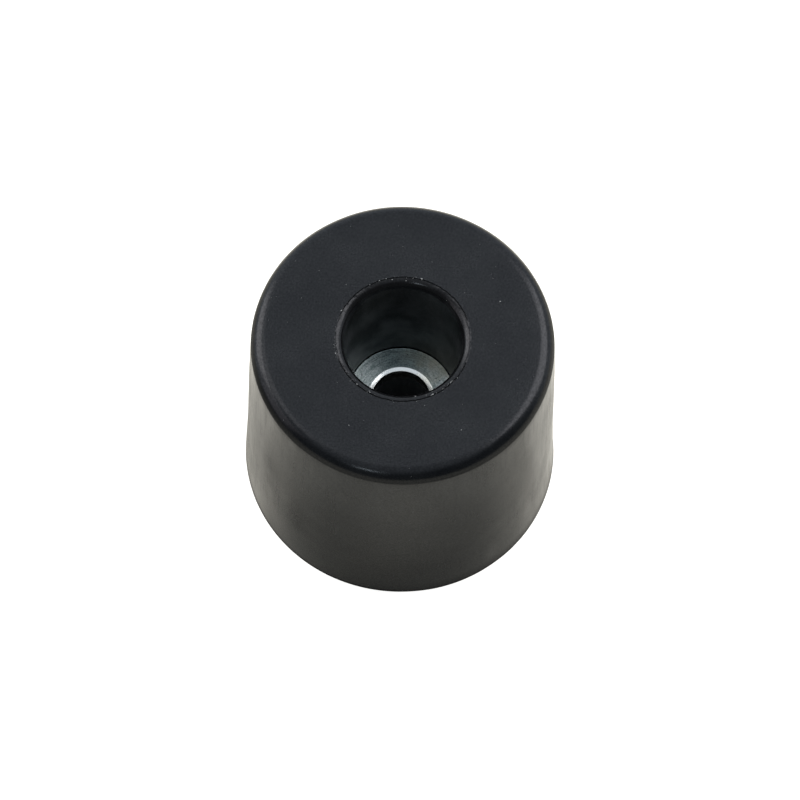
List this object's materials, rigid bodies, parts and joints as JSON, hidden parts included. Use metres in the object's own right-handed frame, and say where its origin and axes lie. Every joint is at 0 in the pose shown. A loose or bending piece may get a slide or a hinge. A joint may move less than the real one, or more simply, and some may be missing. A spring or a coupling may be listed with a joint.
{
  "type": "rubber foot",
  "caption": "Round tapered rubber foot, rounded at its floor face, with a deep screw-head recess down to a moulded-in steel washer and a through hole.",
  "frame": {"origin": "centre of the mounting base, the flat face that goes against the product", "axes": "+Z along the foot's own axis, from the mounting base to the floor face; the foot is turned about +Z, so X and Y may point any way"},
  "size_m": [0.038, 0.038, 0.033],
  "materials": {
    "rubber": "moulded black rubber, fine satin",
    "zinc_plated_steel": "pressed steel, clear zinc plating, satin"
  },
  "bodies": {
    "root": {"rubber_body": "rubber", "steel_washer": "zinc_plated_steel"}
  },
  "joints": []
}
